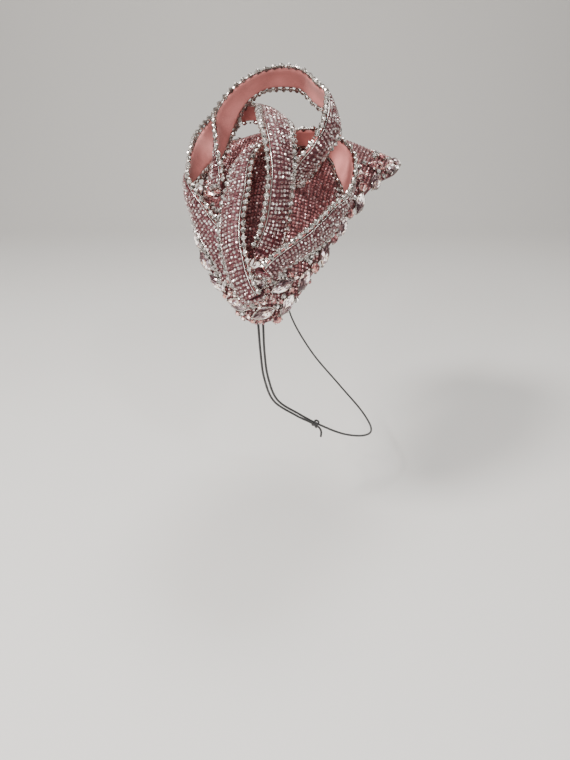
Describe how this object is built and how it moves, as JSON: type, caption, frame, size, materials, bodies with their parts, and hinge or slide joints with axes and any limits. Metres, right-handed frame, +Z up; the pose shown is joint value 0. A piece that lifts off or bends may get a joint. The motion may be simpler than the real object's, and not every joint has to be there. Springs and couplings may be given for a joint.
{
  "type": "rhinestone fascinator",
  "caption": "Dusty-pink rhinestone fascinator: curved leaf base with looped stone-edged ribbons, stone rim and chin elastic.",
  "frame": {"origin": "on the underside of the base, where it rests on the crown of the head", "axes": "+X forward, the way the wearer faces; +Y to the wearer's left; +Z up"},
  "size_m": [0.1433, 0.1943, 0.2685],
  "materials": {
    "rose_mesh_fabric": "fabric set with small pink rhinestones",
    "pink_lining_fabric": "matt velvet on the inner face, small rhinestones on the outer face",
    "silver_stone_chain": "bright cup chain with clear stones",
    "pale_pink_crystal": "cut and polished",
    "rose_crystal": "cut and polished",
    "black_elastic": "covered round elastic cord, matt"
  },
  "bodies": {
    "root": {"base_shell": "rose_mesh_fabric", "tall_loop_ribbon": "pink_lining_fabric", "tall_loop_chain_front": "silver_stone_chain", "tall_loop_chain_back": "silver_stone_chain", "centre_loop_ribbon": "pink_lining_fabric", "centre_loop_chain_front": "silver_stone_chain", "centre_loop_chain_back": "silver_stone_chain", "low_loop_ribbon": "pink_lining_fabric", "low_loop_chain_front": "silver_stone_chain", "low_loop_chain_back": "silver_stone_chain", "front_navette_01": "pale_pink_crystal", "front_navette_02": "pale_pink_crystal", "front_navette_03": "pale_pink_crystal", "front_navette_04": "pale_pink_crystal", "front_navette_05": "pale_pink_crystal", "front_navette_06": "pale_pink_crystal", "front_navette_07": "pale_pink_crystal", "front_navette_08": "pale_pink_crystal", "front_navette_09": "pale_pink_crystal", "inner_navette_01": "pale_pink_crystal", "inner_navette_02": "pale_pink_crystal", "inner_navette_03": "pale_pink_crystal", "inner_navette_04": "pale_pink_crystal", "back_navette_01": "pale_pink_crystal", "back_navette_02": "pale_pink_crystal", "back_navette_03": "pale_pink_crystal", "back_navette_04": "pale_pink_crystal", "back_navette_05": "pale_pink_crystal", "back_navette_06": "pale_pink_crystal", "back_navette_07": "pale_pink_crystal", "back_navette_08": "pale_pink_crystal", "back_navette_09": "pale_pink_crystal", "back_navette_10": "pale_pink_crystal", "front_round_01": "rose_crystal", "front_round_02": "rose_crystal", "front_round_03": "rose_crystal", "front_round_04": "rose_crystal", "front_round_05": "rose_crystal", "front_round_06": "rose_crystal", "front_round_07": "rose_crystal", "back_round_01": "rose_crystal", "back_round_02": "rose_crystal", "back_round_03": "rose_crystal", "chin_elastic": "black_elastic", "second_elastic_strand": "black_elastic", "elastic_knot": "black_elastic"}
  },
  "joints": []
}
